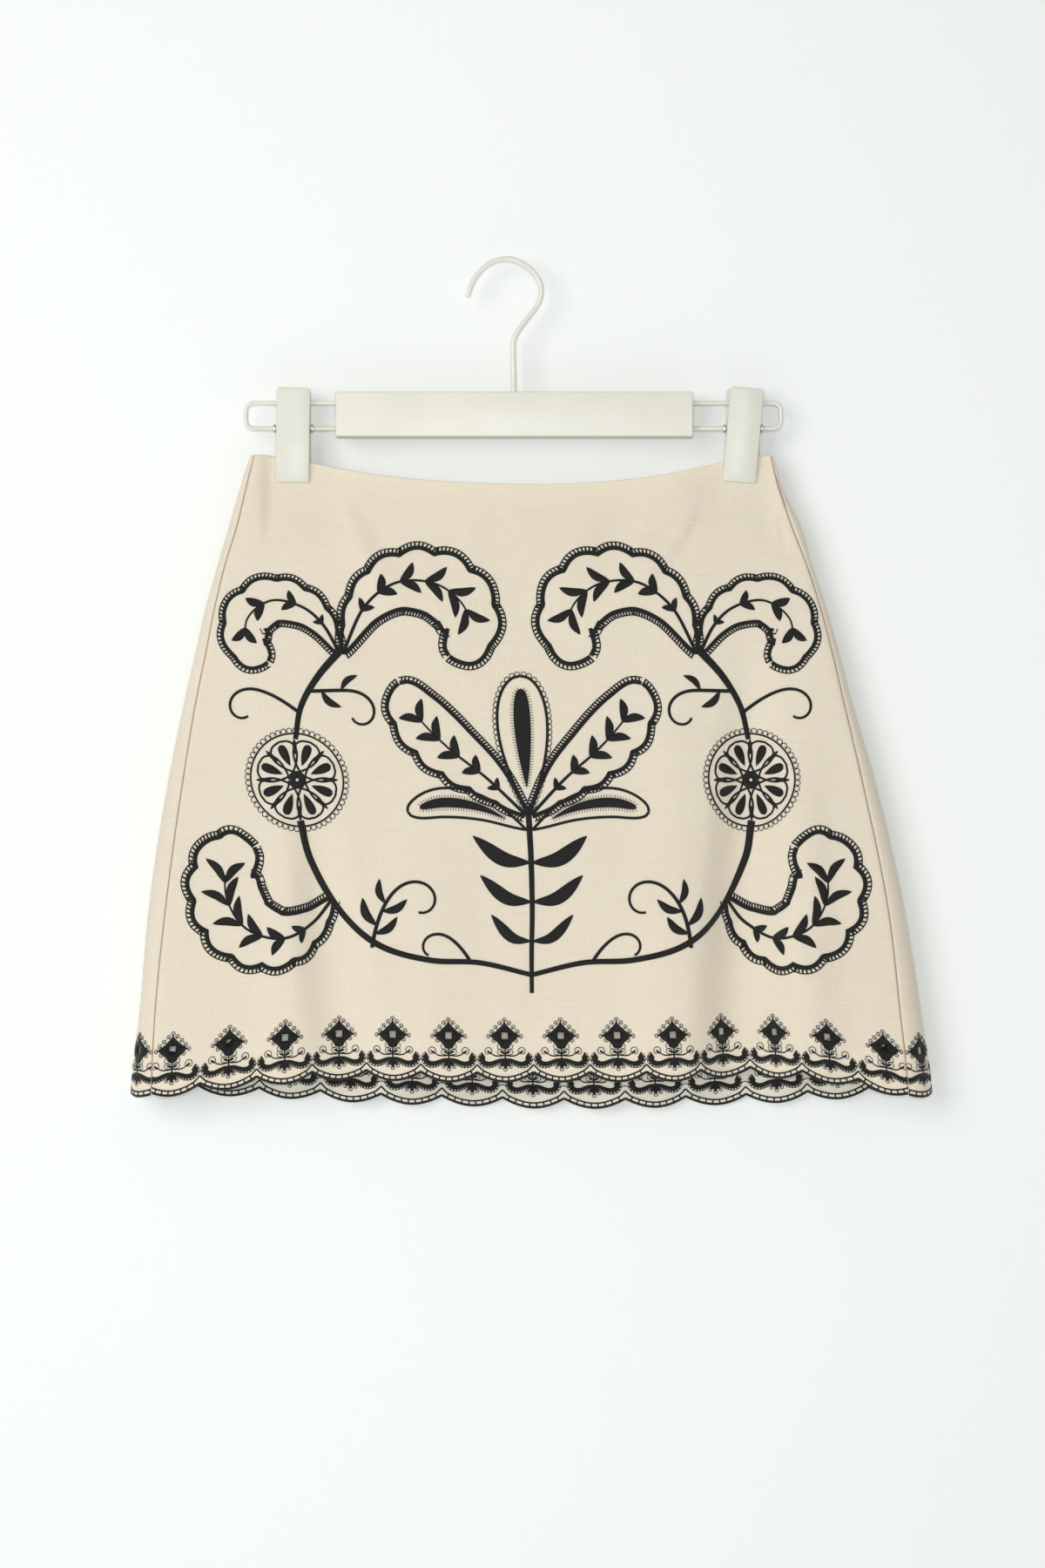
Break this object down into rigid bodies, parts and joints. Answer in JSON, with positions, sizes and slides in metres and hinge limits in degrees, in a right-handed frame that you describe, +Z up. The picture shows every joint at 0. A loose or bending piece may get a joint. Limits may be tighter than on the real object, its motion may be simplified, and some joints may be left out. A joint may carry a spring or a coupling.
{
  "type": "embroidered skirt on a clip hanger",
  "caption": "Short A-line skirt of pale cloth with black embroidery, a scalloped hem with cut eyelets, hung flat from a clip hanger.",
  "frame": {"origin": "inner crown of the hanger's hook, where a rail carries it", "axes": "+X to the viewer's right of the hung skirt, -Y out of its front, +Z up"},
  "size_m": [0.5325, 0.0391, 0.5684],
  "materials": {
    "cloth": "linen-like plain weave with black thread embroidery",
    "zip_tape": "woven tape",
    "bar": "moulded, satin",
    "wire": "coated steel wire",
    "clip": "moulded, satin",
    "spring": "bright steel"
  },
  "bodies": {
    "root": {"front_panel": "cloth", "back_panel": "cloth", "side_zip": "zip_tape", "hanger_bar": "bar", "hanger_hook": "wire", "hanger_wire_left": "wire", "hanger_wire_right": "wire", "clip_left_front": "clip", "clip_left_back": "clip", "clip_left_spring": "spring", "clip_right_front": "clip", "clip_right_back": "clip", "clip_right_spring": "spring"}
  },
  "joints": []
}
